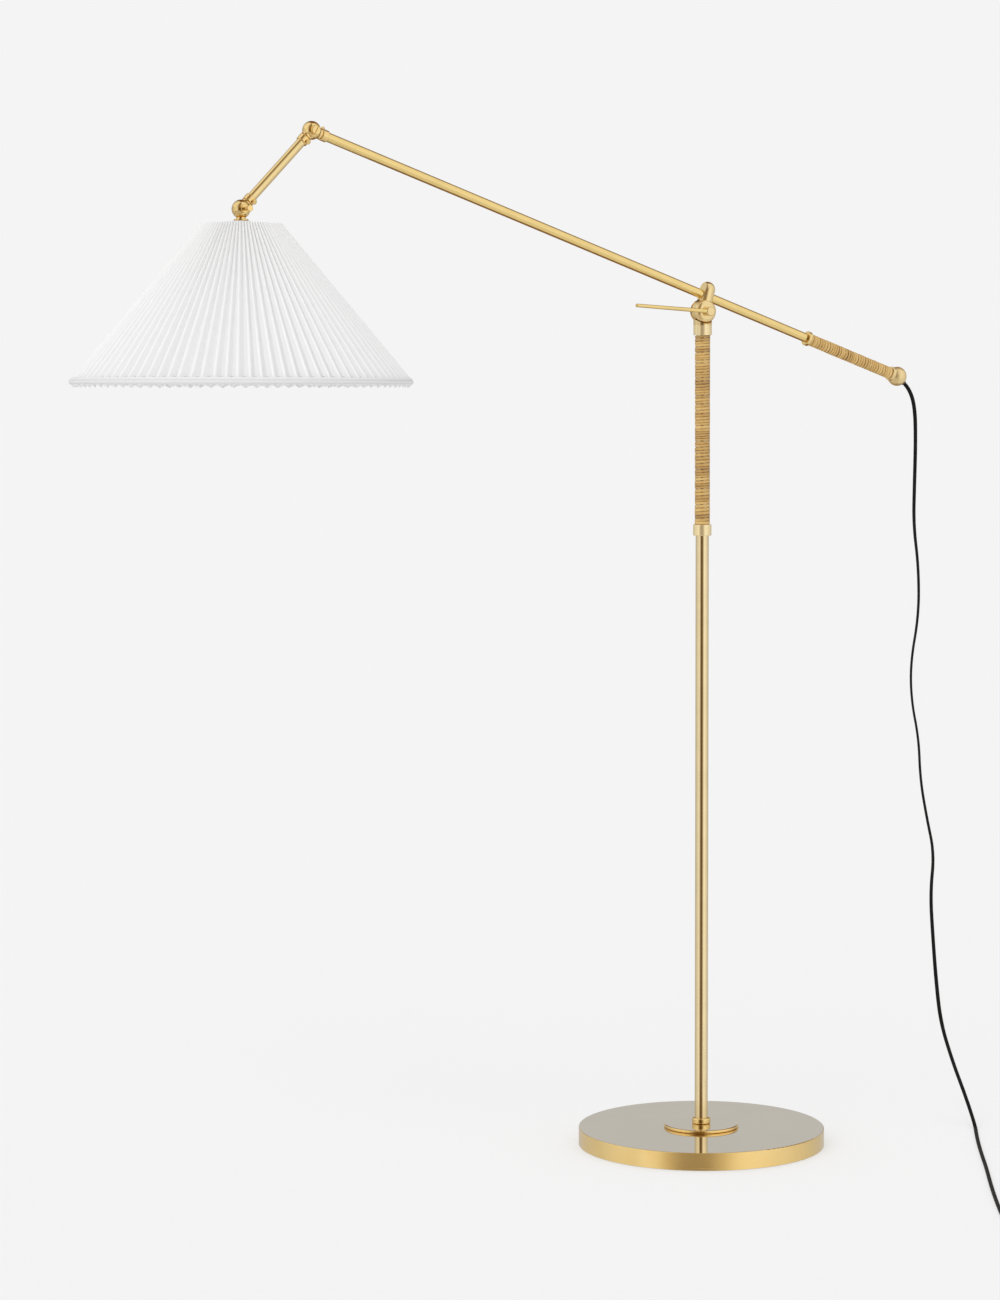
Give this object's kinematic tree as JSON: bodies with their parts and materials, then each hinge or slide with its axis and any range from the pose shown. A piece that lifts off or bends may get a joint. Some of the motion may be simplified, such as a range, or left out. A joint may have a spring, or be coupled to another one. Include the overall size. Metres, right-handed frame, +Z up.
{
  "type": "arc floor lamp",
  "caption": "Brass floor lamp with a round weighted foot, a clamp knuckle holding a long counterbalanced arm, a short arm between ball knuckles and a pleated conical shade.",
  "frame": {"origin": "centre of the foot's underside on the floor, on the pole's axis", "axes": "+Z up along the pole, -X towards the shade in the plane of the arm, -Y to the front, where the clamp lever and knuckle screws are"},
  "size_m": [1.1671, 0.8134, 1.2354],
  "materials": {
    "pad_felt": "matte",
    "cast_weight": "matte",
    "brushed_brass": "satin",
    "polished_brass": "polished",
    "cast_brass": "satin",
    "steel": "satin",
    "cane_wrap": "matte",
    "black_rubber": "satin",
    "black_plastic": "satin",
    "blade_brass": "satin",
    "shade_fabric": "matte",
    "liner_card": "matte",
    "lamp_aluminium": "satin",
    "opal_glass": "satin"
  },
  "bodies": {
    "stand": {"foot_pad": "pad_felt", "foot_weight": "cast_weight", "foot_cover": "brushed_brass", "foot_flange": "brushed_brass", "foot_collar": "brushed_brass", "tie_rod": "steel", "tie_nut_and_washer": "steel", "pole_foot_plug": "steel", "pole_tube": "brushed_brass", "pole_top_plug": "steel", "lower_ferrule": "polished_brass", "pole_wrap": "cane_wrap", "upper_ferrule": "polished_brass", "knuckle_fixed_half": "cast_brass", "pivot_bolt": "polished_brass", "pivot_washer": "steel", "cord_lead": "black_rubber", "cord_coil": "black_rubber", "cord_tail": "black_rubber", "plug_body": "black_plastic", "plug_blades": "blade_brass"},
    "arm": {"clamp_head": "cast_brass", "clamp_screw": "steel", "arm_tube": "brushed_brass", "arm_wire": "black_rubber", "tail_ring": "polished_brass", "tail_wrap": "cane_wrap", "tail_ball": "polished_brass", "cord_grommet": "black_rubber", "arm_collar": "polished_brass"},
    "lever": {"lever_hub": "polished_brass", "lever_rod": "polished_brass"},
    "arm_screw": {"arm_thumb_screw": "polished_brass"},
    "elbow_upper": {"elbow_fixed_half": "polished_brass", "elbow_screw": "polished_brass"},
    "elbow_lower": {"elbow_swing_half": "polished_brass"},
    "short_arm": {"short_arm_tube": "brushed_brass", "short_arm_wire": "black_rubber", "short_upper_collar": "polished_brass", "short_lower_collar": "polished_brass"},
    "upper_screw": {"upper_thumb_screw": "polished_brass"},
    "lower_screw": {"lower_thumb_screw": "polished_brass"},
    "shade_upper": {"shade_fixed_half": "polished_brass"},
    "tilt_screw": {"shade_tilt_screw": "polished_brass"},
    "shade_head": {"shade_swing_half": "polished_brass", "shade_cap": "polished_brass", "shade_spider": "steel", "shade_bottom_ring": "steel", "shade_cloth": "shade_fabric", "socket_cap": "polished_brass", "socket_shell": "polished_brass", "socket_liner": "liner_card", "socket_block": "black_plastic", "socket_contact": "blade_brass", "socket_thread": "lamp_aluminium", "lamp_cap": "lamp_aluminium", "lamp_glass": "opal_glass"},
    "switch": {"switch_knob": "black_plastic"}
  },
  "joints": [
    {"name": "arm_tilt", "type": "hinge", "parent": "stand", "child": "arm", "pos_m": [0, 0, 1.0166], "axis": [0, 1, 0], "range_deg": [-45, 40], "deforming": ["cord_lead"]},
    {"name": "lever_turn", "type": "hinge", "parent": "arm", "child": "lever", "pos_m": [0, 0, 1.0166], "axis": [0, -1, 0], "range_deg": [-60, 180]},
    {"name": "arm_screw_turn", "type": "hinge", "parent": "arm", "child": "arm_screw", "pos_m": [-0.50421, 0, 1.21901], "axis": [0.2407, 0.7071, 0.6649], "range_deg": [0, 180]},
    {"name": "elbow_roll", "type": "hinge", "parent": "arm", "child": "elbow_upper", "pos_m": [-0.51973, 0, 1.22463], "axis": [0.9403, 0, -0.3404], "range_deg": [-150, 150]},
    {"name": "elbow_pitch", "type": "hinge", "parent": "elbow_upper", "child": "elbow_lower", "pos_m": [-0.51973, 0, 1.22463], "axis": [0, 1, 0], "range_deg": [-40, 100]},
    {"name": "short_arm_roll", "type": "hinge", "parent": "elbow_lower", "child": "short_arm", "pos_m": [-0.51973, 0, 1.22463], "axis": [-0.7059, 0, -0.7083], "range_deg": [-150, 150]},
    {"name": "upper_screw_turn", "type": "hinge", "parent": "short_arm", "child": "upper_screw", "pos_m": [-0.53024, 0, 1.21407], "axis": [0.2994, -0.9063, -0.2983], "range_deg": [0, 180]},
    {"name": "lower_screw_turn", "type": "hinge", "parent": "short_arm", "child": "lower_screw", "pos_m": [-0.59801, 0, 1.14607], "axis": [0.2994, -0.9063, -0.2983], "range_deg": [0, 180]},
    {"name": "shade_roll", "type": "hinge", "parent": "short_arm", "child": "shade_upper", "pos_m": [-0.60852, 0, 1.13552], "axis": [-0.7059, 0, -0.7083], "range_deg": [-150, 150]},
    {"name": "shade_pitch", "type": "hinge", "parent": "shade_upper", "child": "shade_head", "pos_m": [-0.60852, 0, 1.13552], "axis": [0.0222, 0.9995, -0.0222], "range_deg": [-40, 80]},
    {"name": "tilt_screw_turn", "type": "hinge", "parent": "shade_upper", "child": "tilt_screw", "pos_m": [-0.60852, 0, 1.13552], "axis": [-0.0222, -0.9995, 0.0222], "range_deg": [0, 180]},
    {"name": "switch_turn", "type": "hinge", "parent": "shade_head", "child": "switch", "pos_m": [-0.60911, -0.00079, 1.09933], "axis": [0.8061, -0.5918, -0.0002], "continuous": true}
  ]
}
